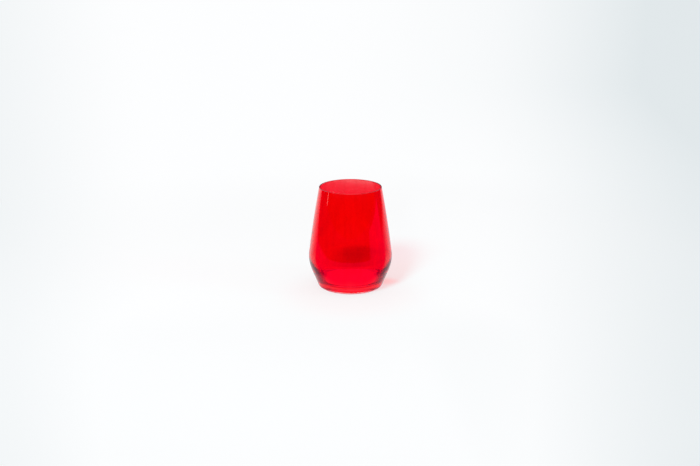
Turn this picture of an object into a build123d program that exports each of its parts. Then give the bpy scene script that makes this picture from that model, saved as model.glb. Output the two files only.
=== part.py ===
from build123d import *
import os
from math import cos, radians, sin, tan

# Stemless wine glass: a clear glass vessel with a thin skin of red glass fused over its outside.
# Millimetres and degrees. Z is the axis of the glass, and its standing ring lies on Z = 0.
# Both pieces are turned shapes: each half section is drawn as (radius, height) and spun about Z.

# Outside of the finished glass
height = 109.0
rim_diameter = 66.2
belly_diameter = 89.0
belly_height = 33.5
belly_rounding = 42.0
wall_lean = 7.4
foot_flare = 22.0
heel_radius = 3.8

# Red skin, thinner where it runs out under the lip
skin_thickness = 0.45
skin_at_rim = 0.25

# Hollow of the vessel
lip_thickness = 1.2
belly_wall = 2.0
bowl_belly_height = 32.0
bowl_rounding = 20.0
bowl_flare = 25.0
base_thickness = 8.2
bowl_corner_radius = 7.0

# Underside: a flat ring to stand on, round a shallow push-up
ring_width = 6.0
push_up = 0.5

# The lip is a half round, so it starts half its thickness below the top.
lip_start = height - lip_thickness / 2
# The skin stops where the straight foot runs into the rounded heel.
skin_foot = heel_radius * (1 - sin(radians(foot_flare)))


def on_circle(centre, radius, angle):
    """Point of a circle in the half section, at an angle measured up from the outward direction."""
    return (centre[0] + radius * cos(radians(angle)), centre[1] + radius * sin(radians(angle)))


def down_the_slope(start, flare, level):
    """Point at a level on the straight line that runs in and down from start."""
    return (start[0] - (start[1] - level) * tan(radians(flare)), level)


def round_and_wall(centre, radius, flare, rim_point):
    """Rounded belly from the foot's slope up, then the gently bowed wall that carries on to the rim."""
    low = on_circle(centre, radius, -flare)
    high = on_circle(centre, radius, wall_lean)
    up_the_wall = (-sin(radians(wall_lean)), cos(radians(wall_lean)))
    belly = CenterArc(centre, radius, -flare, flare + wall_lean)
    wall = TangentArc(high, rim_point, tangent=up_the_wall)
    return low, [belly, wall]


def side(inset, rim_inset):
    """Outside wall, or the seam under the skin when inset, from the heel up to the lip."""
    centre = (belly_diameter / 2 - belly_rounding, belly_height)
    rim_point = (rim_diameter / 2 - rim_inset, lip_start)
    low, edges = round_and_wall(centre, belly_rounding - inset, foot_flare, rim_point)
    foot_point = down_the_slope(low, foot_flare, skin_foot)
    return foot_point, rim_point, [Line(foot_point, low)] + edges


def bowl():
    """Inside of the vessel, from the axis along the floor and up to the lip."""
    centre = (belly_diameter / 2 - belly_wall - bowl_rounding, bowl_belly_height)
    rim_point = (rim_diameter / 2 - lip_thickness, lip_start)
    low, edges = round_and_wall(centre, bowl_rounding, bowl_flare, rim_point)
    corner_level = base_thickness + bowl_corner_radius * (1 - sin(radians(bowl_flare)))
    corner_top = down_the_slope(low, bowl_flare, corner_level)
    floor_edge = (corner_top[0] - bowl_corner_radius * cos(radians(bowl_flare)), base_thickness)
    floor = Line((0, base_thickness), floor_edge)
    corner = TangentArc(floor_edge, corner_top, tangent=(1, 0))
    return rim_point, [floor, corner, Line(corner_top, low)] + edges


def underside(heel_top):
    """Push-up, standing ring and rounded heel, from the axis out to where the skin stops."""
    ring_outer = (heel_top[0] - heel_radius * cos(radians(foot_flare)), 0)
    ring_inner = (ring_outer[0] - ring_width, 0)
    dome = TangentArc((0, push_up), ring_inner, tangent=(1, 0))
    heel = TangentArc(ring_outer, heel_top, tangent=(1, 0))
    return [dome, Line(ring_inner, ring_outer), heel]


def turned(edges):
    """Solid made by spinning a closed half section about Z."""
    return revolve(Plane.XZ * make_face(edges), Axis.Z, 360)


def clear_vessel():
    """Clear glass: thick base, wall and rounded lip, with a shallow seat for the skin all round."""
    heel_top, rim_outer, _ = side(0, 0)
    seat_foot, seat_rim, seat = side(skin_thickness, skin_at_rim)
    rim_inner, hollow = bowl()
    lip_top = ((rim_outer[0] + rim_inner[0]) / 2, height)
    ledges = [Line(heel_top, seat_foot), Line(seat_rim, rim_outer)]
    lip = ThreePointArc(rim_outer, lip_top, rim_inner)
    axis_line = Line((0, push_up), (0, base_thickness))
    return turned(underside(heel_top) + ledges + seat + [lip] + hollow + [axis_line])


def red_skin():
    """Red glass over the outside, from the heel up to the lip, flush with the vessel at both ends."""
    foot_outer, rim_outer, outside = side(0, 0)
    foot_inner, rim_inner, seam = side(skin_thickness, skin_at_rim)
    ends = [Line(foot_outer, foot_inner), Line(rim_outer, rim_inner)]
    return turned(outside + seam + ends)


os.makedirs("parts", exist_ok=True)
export_step(clear_vessel(), "parts/clear_vessel.step")
export_step(red_skin(), "parts/red_skin.step")
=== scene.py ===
from math import atan2, cos, pi, radians, sin, tan
from types import SimpleNamespace

import bpy
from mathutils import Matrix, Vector


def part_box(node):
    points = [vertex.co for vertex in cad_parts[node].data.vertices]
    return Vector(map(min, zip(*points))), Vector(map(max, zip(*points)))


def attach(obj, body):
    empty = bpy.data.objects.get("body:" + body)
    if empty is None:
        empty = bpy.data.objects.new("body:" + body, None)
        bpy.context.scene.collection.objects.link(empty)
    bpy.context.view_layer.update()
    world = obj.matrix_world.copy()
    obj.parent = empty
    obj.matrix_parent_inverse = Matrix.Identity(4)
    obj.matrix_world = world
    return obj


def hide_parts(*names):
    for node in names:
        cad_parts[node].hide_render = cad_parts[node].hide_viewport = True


# Stemless wine glass: a clear glass vessel under a thin skin of transparent red glass, on white paper.
# Metres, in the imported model's frame. Z is the axis of the glass, and its standing ring lies on Z = 0.
# Each half section is drawn as (radius, height) points and turned about Z.

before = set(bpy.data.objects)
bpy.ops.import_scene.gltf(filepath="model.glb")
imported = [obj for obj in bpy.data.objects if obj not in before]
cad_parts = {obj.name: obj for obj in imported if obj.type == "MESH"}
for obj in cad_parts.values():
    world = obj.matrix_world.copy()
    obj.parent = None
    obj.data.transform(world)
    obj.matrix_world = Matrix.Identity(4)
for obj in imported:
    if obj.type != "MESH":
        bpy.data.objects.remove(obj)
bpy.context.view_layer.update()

MM = 0.001

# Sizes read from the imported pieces
vessel_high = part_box("clear_vessel")[1]
skin_low, skin_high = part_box("red_skin")
height = vessel_high.z
belly_radius = skin_high.x
skin_thickness = skin_high.x - vessel_high.x
skin_foot = skin_low.z
lip_start = skin_high.z
lip_thickness = 2 * (height - lip_start)

# Outside of the glass
rim_radius = 33.1 * MM
belly_height = 33.5 * MM
belly_rounding = 42.0 * MM
wall_lean = radians(7.4)
foot_flare = radians(22.0)
heel_radius = skin_foot / (1 - sin(foot_flare))
skin_at_rim = 0.25 * MM

# Hollow of the vessel
belly_wall = 2.0 * MM
bowl_belly_height = 32.0 * MM
bowl_rounding = 20.0 * MM
bowl_flare = radians(25.0)
base_thickness = 8.2 * MM
bowl_corner_radius = 7.0 * MM

# Underside
ring_width = 6.0 * MM
push_up = 0.5 * MM

# How finely the sections are divided
turn_steps = 288
arc_step = radians(2.5)
fewest_arc_steps = 4
wall_steps = 36
flat_steps = 6
heel_steps = 16
dome_steps = 12
lip_steps = 24
weld = 0.001 * MM
crease = radians(30)

# From here on, a span or an edge is a pair of values: where a smooth step starts, and where it is full.
# A patch's reach is its size along X and Y.

# Red glass, by the share of the way from where it turns paler up to the lip
red_deep = (0.985, 0.000003, 0.0004)
red_on_the_way = (
    (0.48, (0.96, 0.0003, 0.0013)),
    (0.7, (0.965, 0.0007, 0.002)),
    (0.86, (0.97, 0.0022, 0.0045)),
)
red_at_lip = (0.98, 0.009, 0.012)
paler_from = 82 * MM
slant_span = (0.24, 0.13)
slant_paleness = 0.5
# Painted reflection of light in the mouth: round the back, the red is paler a little right of centre and
# deeper to the sides
palest_side = 10 * MM
palest_span = (35 * MM, 5 * MM)
palest_levels = (-0.13, 0.08)
back_half_span = (0.0, 15 * MM)
streak_scale = (230, 230, 7)
streak_detail = 2.0
streak_span = (0.4, 0.65)
streak_tint = (0.93, 0.6, 0.6)
red_shadow = (0.98, 0.03, 0.12)

# Clear glass, a trace deeper in the base and blushed by the skin at the lip
base_tint = (0.97, 0.985, 0.98)
wall_tint = (0.995, 1.0, 0.998)
lip_blush = (0.95, 0.2, 0.26)
lip_blush_span = (lip_start - 0.3 * MM, lip_start)
inner_shine = (0.4, 0.4, 0.4)
clear_shadow = (0.99, 0.98, 0.98)
glass_ior = 1.5

# Light inside the glass, by its number of turns. Past countless turns it leaks out, and past endless ones it
# is no longer bright. Turns are whole, so each limit lies halfway between two of them.
at_least_one = 0.5
many_turns = 4.5
countless_turns = 20.5
endless_turns = 22.5
leaky_wall_span = (40 * MM, 46 * MM)
leaky_middle_span = (22 * MM, 17 * MM)
glass_bounces = 96
clear_crossings = 400

# Camera at the photo's viewing angle
camera_place = (-0.00042, -0.9939, 0.3596)
camera_pitch = radians(-16.9)
camera_lens = 50

# Soft light, and the room that the glass mirrors, by the direction in which it is seen
soft_fill = 0.39
room_dark = 0.012
outside_rise_span = (0.15, 0.4)
outside_bright = 0.36
backdrop_turn_span = (0.72, 0.86)
backdrop_rise_span = (0.15, 0.35)
inside_rise_span = (0.28, 0.5)
overhead_span = (0.66, 0.75)
overhead_low = 0.1
leak_rise_span = (0.58, 0.66)
leak_aside_span = (0.65, 0.5)
leaked_light = 1.4

# Paper, its colour and white glow, and the tones of painted light and shade on it
paper_level = -0.1 * MM
paper_size = 40.0
paper_colour = (0.97, 0.975, 0.98)
paper_white = (0.985, 0.992, 1.0)
# Tone of the painted soft shade over the floor
side_shade = (0.76, 0.81, 0.83)
# Painted pink light that the red glass throws on the paper round it
pink_light_painted = (1.0, 0.93, 0.94)
# Painted red light that the glass throws on the paper right of its foot and under it
red_glow = (1.2, 0.6, 0.61)
# Painted red light on the paper in front, as the outside of the glass mirrors it, and its painted shade where
# less red
painted_red_reflection = (2.1, 0.002, 0.24)
shaded_paper = (0.1, 0.002, 0.24)
# Painted dim room that reflections see on the paper outside its lit part, and its tone for light turned many
# times in the glass
dim_room = (0.015, 0.005, 0.05)
turned_dim = (0.12, 0.005, 0.05)

# Places on the paper that more than one effect uses; both lines run out from the glass at a slant
beside_span = (14 * MM, 24 * MM)
behind_axis_span = (0.0, 20 * MM)
middle_span = (28 * MM, 18 * MM)
belly_line_slant = -0.3
side_line_slant = -0.4

# Glow that keeps the paper white to the camera, weaker where the shadow lies, and stronger towards the
# shadow's right side, which paints light into the shadow there
shadow_glow = 0.66
shadow_fade_span = (0.2, 0.6)
right_of_shadow_glow = 0.86
right_of_shadow_span = (55 * MM, 100 * MM)

# Painted patch of shade close behind the glass
patch_place = (10 * MM, 97 * MM)
patch_reach = (30 * MM, 52 * MM)
patch_turn = radians(-18)
patch_edge = (1.25, 0.15)
patch_shade = 0.3

# Painted shade under the standing ring, deeper towards the viewer and lighter at the right
ring_inner_edge = (24.5 * MM, 30 * MM)
ring_outer_edge = (36 * MM, 33 * MM)
ring_front_span = (-5 * MM, -13 * MM)
ring_shades = (0.35, 0.65)
ring_right_span = (0.0, 20 * MM)
ring_right_share = 0.5

# Painted shade that light turned inside the glass sees behind, beside and further out
turned_behind_edge = (70 * MM, 55 * MM)
turned_behind_shade = 0.45
turned_beside_inner_edge = (34 * MM, 37 * MM)
turned_beside_outer_edge = (47 * MM, 44 * MM)
turned_beside_shade = 0.75
further_inner_edge = (58 * MM, 66 * MM)
further_outer_edge = (120 * MM, 100 * MM)
further_aside_span = (40 * MM, 50 * MM)
further_shade = 0.75

# Painted shade past the belly, which outlines it
past_belly_span = (34 * MM, 50 * MM)
past_belly_near_edge = (52 * MM, 66 * MM)
past_belly_far_edge = (135 * MM, 105 * MM)
past_belly_shade = 0.5

# Painted soft shade over the floor, which fans out from a point in front of the glass
fan_point = 1.0
fan_nearest = -0.5
right_fan_span = (0.12, 0.42)
right_shade = 0.85
left_fan_span = (-0.2, -0.42)
left_shade = 0.5
far_right_fan_span = (-0.05, 0.42)
far_right_depth_span = (0.0, 1.6)
far_right_shade = 0.55
front_span = (-30 * MM, -160 * MM)
front_shade = 0.17
floor_front_edge = (-0.8, -0.45)
floor_far_edge = (16.0, 7.0)
floor_side_edge = (1.2, 0.5)

# Painted pink and red light on the paper round the foot and below it, and a painted pool of brighter light
# under the glass
pink_place = (0.0, -30 * MM)
pink_reach = (90 * MM, 90 * MM)
pink_edge = (1.0, 0.4)
glow_place = (36 * MM, 9 * MM)
glow_reach = (22 * MM, 16 * MM)
glow_edge = (1.0, 0.2)
glow_share = 0.6
below_edge = (36 * MM, 28 * MM)
below_share = 0.65
brighter_edge = (34 * MM, 26 * MM)
brighter_share = 0.1

# Part of the paper that reflections see lit: round the glass, to the right and to the back. Elsewhere it is
# painted dark to them
mid_back_seen = 0.4
near_reach_edge = (0.48, 0.4)
right_front_slant = 0.62
right_front_edge = (-80 * MM, -20 * MM)
right_back_slant = -0.2
right_back_edge = (40 * MM, -30 * MM)
right_reach_edge = (3.4, 2.9)
left_side = 0.42
left_corner = 80 * MM
left_slant = 1.1
left_edge = (-60 * MM, 100 * MM)
back_right_edge = (0.72, 0.38)
back_front_edge = (0.0, 50 * MM)

# Painted reflection of the paper in the outside of the glass: where it is white, and where its painted red
# light is less red
behind_lift = 35 * MM
behind_span = (0.28, 0.9)
behind_right_span = (0.0, 100 * MM)
behind_right_share = 0.75
contact_edge = (38.5 * MM, 35 * MM)
contact_share = 0.5
heel_line_inner_edge = (38.5 * MM, 39.5 * MM)
heel_line_outer_edge = (41.5 * MM, 40.5 * MM)
heel_line_share = 0.45
nearby_reach_edge = (0.35, 0.15)
nearby_side_span = (-55 * MM, -18 * MM)
nearby_share = 0.68
less_red_reach_edge = (0.17, 0.12)
less_red_side_span = (-50 * MM, -30 * MM)
less_red_share = 0.85
front_right_span = (30 * MM, 80 * MM)
front_right_depth_span = (-100 * MM, -40 * MM)
front_right_reach_edge = (0.6, 0.45)
front_right_share = 0.6
mirrored_white = 0.95
close_behind_span = (55 * MM, 40 * MM)
close_behind_near_edge = (50 * MM, 70 * MM)
close_behind_reach_edge = (0.16, 0.12)
close_behind_shade = 0.6


def round_steps(sweep):
    """Number of short straight steps that an arc of this sweep is drawn with."""
    return max(fewest_arc_steps, round(abs(sweep) / arc_step))


def arc(centre, radius, start, end, steps=None):
    """Points of an arc, with angles measured up from the outward direction."""
    steps = steps or round_steps(end - start)
    angles = [start + (end - start) * i / steps for i in range(steps + 1)]
    return [(centre[0] + radius * cos(a), centre[1] + radius * sin(a)) for a in angles]


def straight(start, end, steps=flat_steps):
    """Points along a straight stretch."""
    return [tuple(a + (b - a) * i / steps for a, b in zip(start, end)) for i in range(steps + 1)]


def bowed_wall(start, end):
    """Points of the gently bowed wall that leaves start at the wall's lean and ends at the rim."""
    run_in, rise = start[0] - end[0], end[1] - start[1]
    end_lean = 2 * atan2(run_in, rise) - wall_lean
    radius = rise / (sin(end_lean) - sin(wall_lean))
    centre = (start[0] - radius * cos(wall_lean), start[1] - radius * sin(wall_lean))
    return arc(centre, radius, wall_lean, end_lean, wall_steps)


def belly_and_wall(centre, radius, flare, rim_point):
    """Rounded belly from the foot's slope up, then the wall that carries on to the rim."""
    belly = arc(centre, radius, -flare, wall_lean)
    return belly + bowed_wall(belly[-1], rim_point)


def down_the_slope(start, flare, level):
    """Point at a level on the straight line that runs in and down from start."""
    return (start[0] - (start[1] - level) * tan(flare), level)


def side(inset, rim_inset):
    """Outside wall, or the seam under the skin when inset, from the heel up to the lip."""
    centre = (belly_radius - belly_rounding, belly_height)
    rim_point = (rim_radius - rim_inset, lip_start)
    upper = belly_and_wall(centre, belly_rounding - inset, foot_flare, rim_point)
    foot = straight(down_the_slope(upper[0], foot_flare, skin_foot), upper[0])
    return foot + upper


def bowl():
    """Inside of the vessel, from the axis along the floor and up to the lip."""
    centre = (belly_radius - belly_wall - bowl_rounding, bowl_belly_height)
    upper = belly_and_wall(centre, bowl_rounding, bowl_flare, (rim_radius - lip_thickness, lip_start))
    corner_level = base_thickness + bowl_corner_radius * (1 - sin(bowl_flare))
    corner_top = down_the_slope(upper[0], bowl_flare, corner_level)
    corner_in = corner_top[0] - bowl_corner_radius * cos(bowl_flare)
    corner_centre = (corner_in, base_thickness + bowl_corner_radius)
    corner = arc(corner_centre, bowl_corner_radius, -pi / 2, -bowl_flare)
    floor = straight((0, base_thickness), corner[0])
    return floor + corner + straight(corner_top, upper[0]) + upper


def underside(heel_top):
    """Push-up, standing ring and rounded heel, from the axis out to where the skin stops."""
    heel_centre = (heel_top[0] - heel_radius * cos(foot_flare), heel_radius)
    heel = arc(heel_centre, heel_radius, -pi / 2, -foot_flare, heel_steps)
    ring_inner = (heel_centre[0] - ring_width, 0)
    dome_radius = (ring_inner[0] ** 2 + push_up ** 2) / (2 * push_up)
    dome_half = atan2(ring_inner[0], dome_radius - push_up)
    dome = arc((0, push_up - dome_radius), dome_radius, pi / 2, pi / 2 - dome_half, dome_steps)
    return dome + straight(ring_inner, heel[0]) + heel


def lip():
    """Half round at the top of the wall, from the outside over to the inside."""
    return arc((rim_radius - lip_thickness / 2, lip_start), lip_thickness / 2, 0, pi, lip_steps)


def without_repeats(section):
    """The section with each point that lies on the one before it left out."""
    kept = section[:1]
    for point in section[1:]:
        if max(abs(point[0] - kept[-1][0]), abs(point[1] - kept[-1][1])) > weld:
            kept.append(point)
    return kept


def turned(name, section):
    """Piece made by drawing a half section with one extruded point and spinning it about the axis."""
    points = without_repeats(section)
    bpy.ops.object.select_all(action="DESELECT")
    bpy.ops.mesh.primitive_plane_add(size=MM, location=(points[0][0], 0, points[0][1]))
    piece = bpy.context.object
    bpy.ops.object.transform_apply(location=True, rotation=False, scale=False)
    bpy.ops.object.mode_set(mode="EDIT")
    bpy.ops.mesh.select_all(action="SELECT")
    bpy.ops.mesh.merge(type="CENTER")
    for here, there in zip(points, points[1:]):
        step = (there[0] - here[0], 0, there[1] - here[1])
        bpy.ops.mesh.extrude_region_move(TRANSFORM_OT_translate={"value": step})
    bpy.ops.mesh.select_all(action="SELECT")
    bpy.ops.mesh.spin(steps=turn_steps, angle=2 * pi, center=(0, 0, 0), axis=(0, 0, 1))
    bpy.ops.mesh.select_all(action="SELECT")
    bpy.ops.mesh.remove_doubles(threshold=weld)
    bpy.ops.mesh.normals_make_consistent(inside=False)
    bpy.ops.object.mode_set(mode="OBJECT")
    bpy.ops.object.shade_smooth_by_angle(angle=crease)
    piece.name = name
    piece.data.name = name
    return piece


def faces_out(face):
    """True where a face looks away from the axis."""
    return face.normal.x * face.center.x + face.normal.y * face.center.y > 0


def on_a_ledge(face):
    """True on the two narrow rings where the skin ends against the vessel."""
    return min(abs(face.center.z - skin_foot), abs(face.center.z - lip_start)) < weld


def dress(piece, glass, seam, is_seam):
    """Gives a piece its glass, and the fused seam's finish on the faces that lie in the seam."""
    piece.data.materials.append(glass)
    piece.data.materials.append(seam)
    for face in piece.data.polygons:
        face.material_index = 1 if is_seam(face) else 0


def add_node(tree, kind, **values):
    """New node with its properties set by name."""
    made = tree.nodes.new(kind)
    for name, value in values.items():
        setattr(made, name, value)
    return made


def feed(tree, socket, value):
    """Gives a socket a number, a colour or what another node puts out."""
    if isinstance(value, tuple):
        socket.default_value = (*value, 1)
    elif isinstance(value, (int, float)):
        socket.default_value = value
    else:
        tree.links.new(value, socket)


def math_node(tree, operation, *values):
    """Math node on sockets or numbers."""
    made = add_node(tree, "ShaderNodeMath", operation=operation)
    for socket, value in zip(made.inputs, values):
        feed(tree, socket, value)
    return made.outputs[0]


def product(tree, first, *others):
    """Product of sockets or numbers."""
    for other in others:
        first = math_node(tree, "MULTIPLY", first, other)
    return first


def largest(tree, first, *others):
    """Largest of sockets or numbers."""
    for other in others:
        first = math_node(tree, "MAXIMUM", first, other)
    return first


def smooth_step(tree, value, span, start=0.0, full=1.0):
    """Smooth step of a value over a span, from one level at its start to another where it is full."""
    made = add_node(tree, "ShaderNodeMapRange", interpolation_type="SMOOTHSTEP")
    feed(tree, made.inputs["Value"], value)
    for name, level in zip(("From Min", "From Max", "To Min", "To Max"), (*span, start, full)):
        feed(tree, made.inputs[name], level)
    return made.outputs["Result"]


def between(tree, value, low, high):
    """1 where a value lies between two limits, and 0 elsewhere."""
    above, below = math_node(tree, "GREATER_THAN", value, low), math_node(tree, "LESS_THAN", value, high)
    return product(tree, above, below)


def mixed_colour(tree, share, first, second, blend="MIX"):
    """Mix of two colours, each given as numbers or as a socket."""
    made = add_node(tree, "ShaderNodeMix", data_type="RGBA", blend_type=blend)
    feed(tree, made.inputs["Factor"], share)
    for socket, colour in zip(made.inputs[6:8], (first, second)):
        feed(tree, socket, colour)
    return made.outputs[2]


def mixed(tree, share, first, second):
    """Mix of two shaders."""
    made = add_node(tree, "ShaderNodeMixShader")
    for socket, given in zip(made.inputs, (share, first, second)):
        feed(tree, socket, given)
    return made.outputs[0]


def glowing(tree, kind, colour, strength=1.0):
    """Emission, or background of the world, with its colour and strength given as numbers or as sockets."""
    made = add_node(tree, kind)
    feed(tree, made.inputs["Color"], colour)
    feed(tree, made.inputs["Strength"], strength)
    return made.outputs[0]


def coordinates(tree, kind="Object"):
    """Coordinates of one kind, whole and split into X, Y and Z."""
    place = add_node(tree, "ShaderNodeTexCoord").outputs[kind]
    axes = add_node(tree, "ShaderNodeSeparateXYZ")
    feed(tree, axes.inputs["Vector"], place)
    return place, axes.outputs


def distance_from(tree, vector, place, reach, turn=0.0):
    """Distance from a place on the paper, as a share of the reach along X and Y, which may be turned."""
    moved = add_node(tree, "ShaderNodeMapping", vector_type="TEXTURE")
    moved.inputs["Location"].default_value = (*place, 0)
    moved.inputs["Rotation"].default_value = (0, 0, turn)
    moved.inputs["Scale"].default_value = (*reach, 1)
    feed(tree, moved.inputs["Vector"], vector)
    length = add_node(tree, "ShaderNodeVectorMath", operation="LENGTH")
    feed(tree, length.inputs[0], moved.outputs["Vector"])
    return length.outputs["Value"]


def new_material(name):
    """Material with nodes, and its shader."""
    material = bpy.data.materials.new(name)
    material.use_nodes = True
    return material, material.node_tree, material.node_tree.nodes["Principled BSDF"]


def fire_polish_group():
    """Faint unevenness of fire-polished glass: long soft ripples round the wall and a trace of haze."""
    group = bpy.data.node_groups.new("fire_polish", "ShaderNodeTree")
    new_socket = group.interface.new_socket
    new_socket("Ripples per Metre", in_out="INPUT", socket_type="NodeSocketFloat")
    new_socket("Haze", in_out="INPUT", socket_type="NodeSocketFloat")
    new_socket("Roughness", in_out="OUTPUT", socket_type="NodeSocketFloat")
    new_socket("Height", in_out="OUTPUT", socket_type="NodeSocketFloat")
    given = add_node(group, "NodeGroupInput")
    result = add_node(group, "NodeGroupOutput")
    place = add_node(group, "ShaderNodeTexCoord")
    ripple = add_node(group, "ShaderNodeTexNoise")
    feed(group, ripple.inputs["Detail"], 1.0)
    feed(group, ripple.inputs["Vector"], place.outputs["Object"])
    feed(group, ripple.inputs["Scale"], given.outputs["Ripples per Metre"])
    haze = product(group, ripple.outputs["Fac"], given.outputs["Haze"])
    feed(group, result.inputs["Roughness"], haze)
    feed(group, result.inputs["Height"], ripple.outputs["Fac"])
    return group


def polish(material, group, ripples_per_metre, haze, depth):
    """Places the fire polish in a glass: its haze on the roughness, its ripples on the normal."""
    tree = material.node_tree
    shader = tree.nodes["Principled BSDF"]
    placed = add_node(tree, "ShaderNodeGroup", node_tree=group)
    feed(tree, placed.inputs["Ripples per Metre"], ripples_per_metre)
    feed(tree, placed.inputs["Haze"], haze)
    bump = add_node(tree, "ShaderNodeBump")
    feed(tree, bump.inputs["Strength"], 1.0)
    feed(tree, bump.inputs["Distance"], depth)
    feed(tree, bump.inputs["Height"], placed.outputs["Height"])
    feed(tree, shader.inputs["Roughness"], placed.outputs["Roughness"])
    feed(tree, shader.inputs["Normal"], bump.outputs["Normal"])


def lets_light_through(material, colour):
    """Lets lamp light through a glass in the glass's own colour, so that its shadow is tinted.

    Light that has turned countless times in the wall or in the middle of the foot leaks out in the same way.
    """
    tree = material.node_tree
    path = add_node(tree, "ShaderNodeLightPath").outputs
    axes = coordinates(tree)[1]
    aside = math_node(tree, "ABSOLUTE", axes["X"])
    leaky = largest(
        tree, smooth_step(tree, axes["Z"], leaky_wall_span), smooth_step(tree, aside, leaky_middle_span))
    leaks = product(tree, leaky, math_node(tree, "GREATER_THAN", path["Glossy Depth"], countless_turns))
    passed = add_node(tree, "ShaderNodeBsdfTransparent")
    feed(tree, passed.inputs["Color"], colour)
    surface = mixed(tree, largest(tree, path["Is Shadow Ray"], leaks),
                    tree.nodes["Principled BSDF"].outputs[0], passed.outputs[0])
    feed(tree, tree.nodes["Material Output"].inputs["Surface"], surface)


def upright_streaks(tree, place, colour):
    """Colour with the faint upright streaks that are left when a wall is drawn up while hot."""
    stretched = add_node(tree, "ShaderNodeMapping")
    stretched.inputs["Scale"].default_value = streak_scale
    feed(tree, stretched.inputs["Vector"], place)
    streaks = add_node(tree, "ShaderNodeTexNoise")
    feed(tree, streaks.inputs["Scale"], 1.0)
    feed(tree, streaks.inputs["Detail"], streak_detail)
    feed(tree, streaks.inputs["Vector"], stretched.outputs["Vector"])
    streaked = smooth_step(tree, streaks.outputs["Fac"], streak_span)
    return mixed_colour(tree, streaked, colour, streak_tint, "MULTIPLY")


def skin_paleness(tree, axes):
    """How pale the red is: more so up to the lip, less where seen at a slant, and round the back a painted
    reflection of light in the mouth, paler a little right of centre and deeper to the sides.
    """
    above = math_node(tree, "SUBTRACT", axes["Z"], paler_from)
    up_the_wall = math_node(tree, "DIVIDE", above, height - paler_from)
    slant = add_node(tree, "ShaderNodeLayerWeight").outputs["Facing"]
    paleness = product(tree, up_the_wall, smooth_step(tree, slant, slant_span, slant_paleness, 1.0))
    # Painted reflection of light in the mouth, round the back of the wall
    off_centre = math_node(tree, "ABSOLUTE", math_node(tree, "SUBTRACT", axes["X"], palest_side))
    painted_mouth_reflection = product(tree, smooth_step(tree, off_centre, palest_span, *palest_levels),
                     smooth_step(tree, axes["Y"], back_half_span))
    return math_node(tree, "MULTIPLY_ADD", painted_mouth_reflection, largest(tree, up_the_wall, 0.0), paleness)


def red_glass(group):
    """Bright red glass, deep over the body and paler where the skin runs out under the lip."""
    material, tree, shader = new_material("red_glass")
    shader.inputs["Transmission Weight"].default_value = 1.0
    shader.inputs["IOR"].default_value = glass_ior
    place, axes = coordinates(tree)
    colour = add_node(tree, "ShaderNodeValToRGB")
    shades = colour.color_ramp.elements
    shades[0].color = (*red_deep, 1)
    shades[1].color = (*red_at_lip, 1)
    for way_up, shade in red_on_the_way:
        shades.new(way_up).color = (*shade, 1)
    feed(tree, colour.inputs["Fac"], skin_paleness(tree, axes))
    feed(tree, shader.inputs["Base Color"], upright_streaks(tree, place, colour.outputs["Color"]))
    polish(material, group, ripples_per_metre=60, haze=0.004, depth=0.001 * MM)
    lets_light_through(material, red_shadow)
    return material


def clear_glass(group):
    """Clear glass of the base, the inside and the bare lip."""
    material, tree, shader = new_material("clear_glass")
    shader.inputs["Transmission Weight"].default_value = 1.0
    shader.inputs["IOR"].default_value = glass_ior
    shader.inputs["Specular Tint"].default_value = (*inner_shine, 1)
    axes = coordinates(tree)[1]
    colour = add_node(tree, "ShaderNodeValToRGB")
    colour.color_ramp.elements[0].color = (*base_tint, 1)
    colour.color_ramp.elements[1].color = (*wall_tint, 1)
    feed(tree, colour.inputs["Fac"], smooth_step(tree, axes["Z"], (0.0, base_thickness)))
    at_the_lip = smooth_step(tree, axes["Z"], lip_blush_span)
    blushed = mixed_colour(tree, at_the_lip, colour.outputs["Color"], lip_blush)
    feed(tree, shader.inputs["Base Color"], blushed)
    polish(material, group, ripples_per_metre=45, haze=0.002, depth=0.0005 * MM)
    lets_light_through(material, clear_shadow)
    return material


def fused_seam():
    """Where the skin is fused to the vessel there is no surface to see, so the seam is fully clear."""
    material, _, shader = new_material("fused_seam")
    shader.inputs["Base Color"].default_value = (1, 1, 1, 1)
    shader.inputs["Alpha"].default_value = 0.0
    return material


def clear_vessel_piece(glass, seam):
    """Clear glass vessel: underside and heel, seat under the skin, lip and hollow."""
    heel_top = side(0, 0)[0]
    section = underside(heel_top) + side(skin_thickness, skin_at_rim) + lip() + bowl()[::-1]
    piece = turned("vessel", section)
    dress(piece, glass, seam, lambda face: on_a_ledge(face) or (
        faces_out(face) and skin_foot < face.center.z < lip_start))
    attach(piece, "root")
    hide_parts("clear_vessel")


def red_skin_piece(glass, seam):
    """Thin red skin over the outside, closed at both ends against the vessel."""
    outside = side(0, 0)
    section = outside + side(skin_thickness, skin_at_rim)[::-1] + outside[:1]
    piece = turned("skin", section)
    dress(piece, glass, seam, lambda face: on_a_ledge(face) or not faces_out(face))
    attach(piece, "root")
    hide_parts("red_skin")


def paper_places(tree):
    """Where a point of the paper lies: along X and Y, away from the axis, beside the glass or behind it."""
    place, axes = coordinates(tree)
    x, y = axes["X"], axes["Y"]
    aside = math_node(tree, "ABSOLUTE", x)
    return SimpleNamespace(
        place=place, x=x, y=y, aside=aside,
        distance=distance_from(tree, place, (0, 0), (1, 1)),
        beside=smooth_step(tree, aside, beside_span),
        off_belly_line=math_node(tree, "MULTIPLY_ADD", y, belly_line_slant, aside),
        off_side_line=math_node(tree, "MULTIPLY_ADD", aside, side_line_slant, y),
        mid_back=product(tree, smooth_step(tree, y, behind_axis_span), smooth_step(tree, aside, middle_span)))


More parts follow.
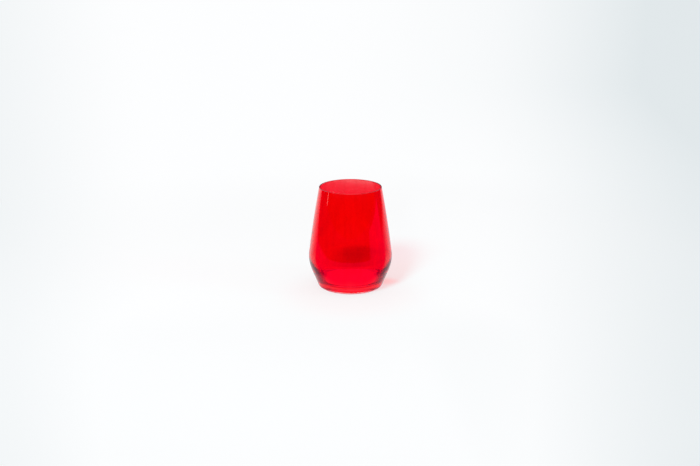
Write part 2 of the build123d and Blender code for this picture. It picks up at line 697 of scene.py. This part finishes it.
def shade_through_glass(tree, at, reflected):
    """Painted shade: share of the paper's light that is taken off when it is seen through the glass."""
    patch = smooth_step(tree, distance_from(tree, at.place, patch_place, patch_reach, patch_turn),
                        patch_edge, 0.0, patch_shade)
    under_ring = product(
        tree, at.beside,
        smooth_step(tree, at.distance, ring_inner_edge),
        smooth_step(tree, at.distance, ring_outer_edge),
        smooth_step(tree, at.y, ring_front_span, *ring_shades),
        smooth_step(tree, at.x, ring_right_span, 1.0, ring_right_share))
    turned_behind = product(
        tree, at.mid_back, smooth_step(tree, at.distance, turned_behind_edge, 0.0, turned_behind_shade))
    turned_beside = product(
        tree, at.beside,
        smooth_step(tree, at.distance, turned_beside_inner_edge, 0.0, turned_beside_shade),
        smooth_step(tree, at.distance, turned_beside_outer_edge))
    further_out = product(
        tree, smooth_step(tree, at.distance, further_inner_edge, 0.0, further_shade),
        smooth_step(tree, at.distance, further_outer_edge),
        smooth_step(tree, at.aside, further_aside_span))
    turned_light = product(tree, reflected, largest(tree, turned_behind, turned_beside, further_out))
    past_belly = product(
        tree, smooth_step(tree, at.off_belly_line, past_belly_span, 0.0, past_belly_shade),
        smooth_step(tree, at.y, past_belly_near_edge),
        smooth_step(tree, at.y, past_belly_far_edge))
    return largest(tree, patch, under_ring, turned_light, past_belly)


def floor_shade(tree, at):
    """Painted soft shade over the floor, to the sides and in front, that ends well away from the glass."""
    depth = math_node(tree, "ADD", largest(tree, at.y, fan_nearest), fan_point)
    across = math_node(tree, "DIVIDE", at.x, depth)
    far_right = product(
        tree, smooth_step(tree, across, far_right_fan_span, 0.0, far_right_shade),
        smooth_step(tree, at.y, far_right_depth_span))
    right_and_left = math_node(
        tree, "ADD", smooth_step(tree, across, right_fan_span, 0.0, right_shade),
        smooth_step(tree, across, left_fan_span, 0.0, left_shade))
    to_the_sides = math_node(tree, "ADD", right_and_left, far_right)
    in_front = smooth_step(tree, at.y, front_span, 0.0, front_shade)
    return product(
        tree, largest(tree, in_front, to_the_sides),
        smooth_step(tree, at.y, floor_front_edge),
        smooth_step(tree, at.distance, floor_far_edge),
        smooth_step(tree, math_node(tree, "ABSOLUTE", across), floor_side_edge))


def paper_tone(tree, at, through):
    """Tone of the paper: white or in painted soft shade, with painted pink light round the glass and painted
    red light right of its foot and below it.
    """
    tone = mixed_colour(tree, floor_shade(tree, at), paper_white, side_shade)
    # Painted pink light round the glass
    near_glass = smooth_step(tree, distance_from(tree, at.place, pink_place, pink_reach), pink_edge)
    tone = mixed_colour(tree, near_glass, tone, pink_light_painted)
    # Painted red light right of the foot, and below the glass as seen through it
    right_of_foot = smooth_step(
        tree, distance_from(tree, at.place, glow_place, glow_reach), glow_edge, 0.0, glow_share)
    below_glass = product(tree, through, smooth_step(tree, at.distance, below_edge, 0.0, below_share))
    return mixed_colour(tree, largest(tree, right_of_foot, below_glass), tone, red_glow)


def white_paper(tree, at, path, reflected, plain):
    """Paper that stays white to the eye and through the glass, and still takes the shadow."""
    through = largest(tree, path["Is Transmission Ray"], path["Is Glossy Ray"])
    glow = largest(
        tree, smooth_step(tree, at.distance, shadow_fade_span, shadow_glow, 1.0),
        smooth_step(tree, at.x, right_of_shadow_span, shadow_glow, right_of_shadow_glow))
    share = largest(tree, through, product(tree, path["Is Camera Ray"], glow))
    # Painted pool of brighter light on the paper under the glass, seen through the glass
    brighter = product(tree, through, smooth_step(tree, at.distance, brighter_edge, 0.0, brighter_share))
    # Painted shade on the paper, seen through the glass
    shade = product(tree, through, shade_through_glass(tree, at, reflected))
    strength = math_node(tree, "SUBTRACT", math_node(tree, "ADD", 1.0, brighter), shade)
    tone = paper_tone(tree, at, through)
    return mixed(tree, share, plain, glowing(tree, "ShaderNodeEmission", tone, strength))


def mirrored_paper(tree, at):
    """Painted reflection of the paper in the outside of the glass: white behind, at the foot and nearby, lit
    red in front, with painted shade close behind.
    """
    rise = math_node(tree, "DIVIDE", math_node(tree, "ADD", at.y, behind_lift), at.distance)
    behind = product(
        tree, smooth_step(tree, rise, behind_span),
        smooth_step(tree, at.x, behind_right_span, 1.0, behind_right_share))
    contact = smooth_step(tree, at.distance, contact_edge, 0.0, contact_share)
    heel_line = product(
        tree, smooth_step(tree, at.distance, heel_line_inner_edge, 0.0, heel_line_share),
        smooth_step(tree, at.distance, heel_line_outer_edge))
    nearby = product(
        tree, smooth_step(tree, at.distance, nearby_reach_edge),
        smooth_step(tree, at.off_side_line, nearby_side_span, 0.0, nearby_share))
    less_red = product(
        tree, smooth_step(tree, at.distance, less_red_reach_edge),
        smooth_step(tree, at.off_side_line, less_red_side_span, 0.0, less_red_share))
    front_right = product(
        tree, smooth_step(tree, at.x, front_right_span),
        smooth_step(tree, at.y, front_right_depth_span, 0.0, front_right_share),
        smooth_step(tree, at.distance, front_right_reach_edge))
    front_tone = mixed_colour(tree, largest(tree, less_red, front_right), painted_red_reflection, shaded_paper)
    close_behind = product(
        tree, smooth_step(tree, at.off_belly_line, close_behind_span, 0.0, close_behind_shade),
        smooth_step(tree, at.y, close_behind_near_edge),
        smooth_step(tree, at.distance, close_behind_reach_edge))
    white_strength = math_node(tree, "SUBTRACT", mirrored_white, close_behind)
    return mixed(
        tree, largest(tree, behind, contact, heel_line, nearby),
        glowing(tree, "ShaderNodeEmission", front_tone),
        glowing(tree, "ShaderNodeEmission", paper_white, white_strength))


def lit_paper(tree, at):
    """1 on the part of the paper that reflections see lit, and 0 on the part that is painted dark to them."""
    right_front = math_node(tree, "MULTIPLY_ADD", at.x, right_front_slant, at.y)
    right_back = math_node(tree, "MULTIPLY_ADD", at.x, right_back_slant, at.y)
    to_right = product(
        tree, smooth_step(tree, right_front, right_front_edge),
        smooth_step(tree, right_back, right_back_edge),
        smooth_step(tree, at.distance, right_reach_edge))
    past_corner = largest(tree, math_node(tree, "SUBTRACT", at.y, left_corner), 0.0)
    from_left = math_node(
        tree, "MULTIPLY_ADD", past_corner, left_slant, math_node(tree, "ADD", at.x, left_side))
    to_back = product(
        tree, smooth_step(tree, from_left, left_edge),
        smooth_step(tree, at.x, back_right_edge),
        smooth_step(tree, at.y, back_front_edge))
    return largest(tree, smooth_step(tree, at.distance, near_reach_edge), to_right, to_back)


def paper_material():
    """White paper with a set tone for each way that its light reaches the eye.

    Seen straight or through the glass it is white, with painted shade and painted red light near the glass.
    The outside of the glass mirrors it as a painted reflection, white or lit red. Reflections see it painted
    dim outside its lit part, and so does light that has turned many times in the glass.
    """
    material, tree, shader = new_material("white_paper")
    shader.inputs["Base Color"].default_value = (*paper_colour, 1)
    shader.inputs["Roughness"].default_value = 1.0
    shader.inputs["Specular IOR Level"].default_value = 0.0
    path = add_node(tree, "ShaderNodeLightPath").outputs
    at = paper_places(tree)
    turns = path["Glossy Depth"]
    reflected = math_node(tree, "GREATER_THAN", turns, at_least_one)
    not_inside = math_node(tree, "LESS_THAN", path["Transmission Depth"], at_least_one)
    seen = mixed(tree, product(tree, reflected, not_inside),
                 white_paper(tree, at, path, reflected, shader.outputs[0]), mirrored_paper(tree, at))
    many = math_node(tree, "GREATER_THAN", turns, many_turns)
    unlit = math_node(tree, "SUBTRACT", reflected, lit_paper(tree, at))
    turned_out = product(tree, many, math_node(tree, "MULTIPLY_ADD", at.mid_back, -mid_back_seen, 1.0))
    leaking = between(tree, turns, countless_turns, endless_turns)
    hidden = math_node(tree, "SUBTRACT", largest(tree, unlit, turned_out), leaking)
    dim = glowing(tree, "ShaderNodeEmission", mixed_colour(tree, many, dim_room, turned_dim))
    feed(tree, tree.nodes["Material Output"].inputs["Surface"], mixed(tree, hidden, seen, dim))
    return material


def paper_floor():
    """Large sheet of white paper, just under the standing ring."""
    bpy.ops.object.select_all(action="DESELECT")
    bpy.ops.mesh.primitive_plane_add(size=paper_size, location=(0, 0, paper_level))
    paper = bpy.context.object
    paper.name = "paper"
    paper.data.materials.append(paper_material())


def studio_world():
    """Soft white light from all round, and a room with a set strength for each way that it is seen.

    Seen straight or through the glass it is white. Reflections see it dark low down and brighter higher up.
    Light that has turned many times in the glass sees it bright only overhead, and leaked light only above.
    """
    world = bpy.data.worlds.new("studio")
    bpy.context.scene.world = world
    world.use_nodes = True
    tree = world.node_tree
    soft = tree.nodes["Background"]
    soft.inputs["Color"].default_value = (1, 1, 1, 1)
    soft.inputs["Strength"].default_value = soft_fill
    path = add_node(tree, "ShaderNodeLightPath").outputs
    axes = coordinates(tree, "Generated")[1]
    backdrop = product(
        tree, smooth_step(tree, axes["Y"], backdrop_turn_span),
        smooth_step(tree, axes["Z"], backdrop_rise_span))
    strengths = {
        "straight": 1.0,
        "outside": smooth_step(tree, axes["Z"], outside_rise_span, room_dark, outside_bright),
        "inside": largest(tree, backdrop, smooth_step(tree, axes["Z"], inside_rise_span, room_dark, 1.0)),
        "overhead": smooth_step(tree, axes["Z"], overhead_span, overhead_low, 1.0),
        "leaked": product(
            tree, smooth_step(tree, axes["Z"], leak_rise_span),
            smooth_step(tree, math_node(tree, "ABSOLUTE", axes["X"]), leak_aside_span), leaked_light),
    }
    room = {}
    for way, strength in strengths.items():
        room[way] = glowing(tree, "ShaderNodeBackground", paper_white, strength)
    turns = path["Glossy Depth"]
    straight_on = largest(tree, path["Is Camera Ray"], path["Is Transmission Ray"])
    seen = mixed(tree, straight_on, soft.outputs[0], room["straight"])
    inside = math_node(tree, "GREATER_THAN", path["Transmission Depth"], at_least_one)
    reflected = math_node(tree, "GREATER_THAN", turns, at_least_one)
    seen = mixed(tree, reflected, seen, mixed(tree, inside, room["outside"], room["inside"]))
    seen = mixed(tree, math_node(tree, "GREATER_THAN", turns, many_turns), seen, room["overhead"])
    seen = mixed(tree, between(tree, turns, countless_turns, endless_turns), seen, room["leaked"])
    feed(tree, tree.nodes["World Output"].inputs["Surface"], seen)


def light_paths():
    """Lets light follow the many turns that it makes inside thick glass."""
    cycles = bpy.context.scene.cycles
    cycles.max_bounces = glass_bounces
    cycles.transmission_bounces = glass_bounces
    cycles.glossy_bounces = glass_bounces
    cycles.transparent_max_bounces = clear_crossings
    cycles.caustics_reflective = False
    cycles.caustics_refractive = False


def area_light(name, place, target, size, power, mirrored):
    """Area light of a width and height at a place, aimed at a target, which the glass may mirror or not."""
    bpy.ops.object.light_add(type="AREA", location=place)
    lamp = bpy.context.object
    lamp.name = name
    lamp.data.shape = "RECTANGLE"
    lamp.data.size, lamp.data.size_y = size
    lamp.data.energy = power
    lamp.visible_transmission = False
    lamp.visible_glossy = mirrored
    lamp.rotation_euler = (Vector(target) - Vector(place)).to_track_quat("-Z", "Y").to_euler()


def studio_lamps():
    """Key lamp from the front left, which casts the shadow, and two small lamps that the glass mirrors."""
    area_light("key", place=(-1.49, -2.82, 2.72), target=(0, 0, 0),
               size=(0.9, 0.9), power=158.0, mirrored=False)
    area_light("side", place=(1.16, -0.29, 0.6), target=(0, 0, 0.1),
               size=(0.25, 0.25), power=1.5, mirrored=True)
    area_light("strip", place=(-2.0, -0.22, 0.13), target=(0, 0, 0.06),
               size=(0.09, 0.1), power=0.05, mirrored=True)


def photo_camera():
    """Camera at the photo's viewing angle."""
    bpy.ops.object.camera_add(location=camera_place, rotation=(pi / 2 + camera_pitch, 0, 0))
    camera = bpy.context.object
    camera.data.lens = camera_lens
    bpy.context.scene.camera = camera


polish_group = fire_polish_group()
seam_finish = fused_seam()
clear_vessel_piece(clear_glass(polish_group), seam_finish)
red_skin_piece(red_glass(polish_group), seam_finish)
paper_floor()
studio_world()
light_paths()
studio_lamps()
photo_camera()
bpy.context.scene.view_settings.view_transform = "Standard"
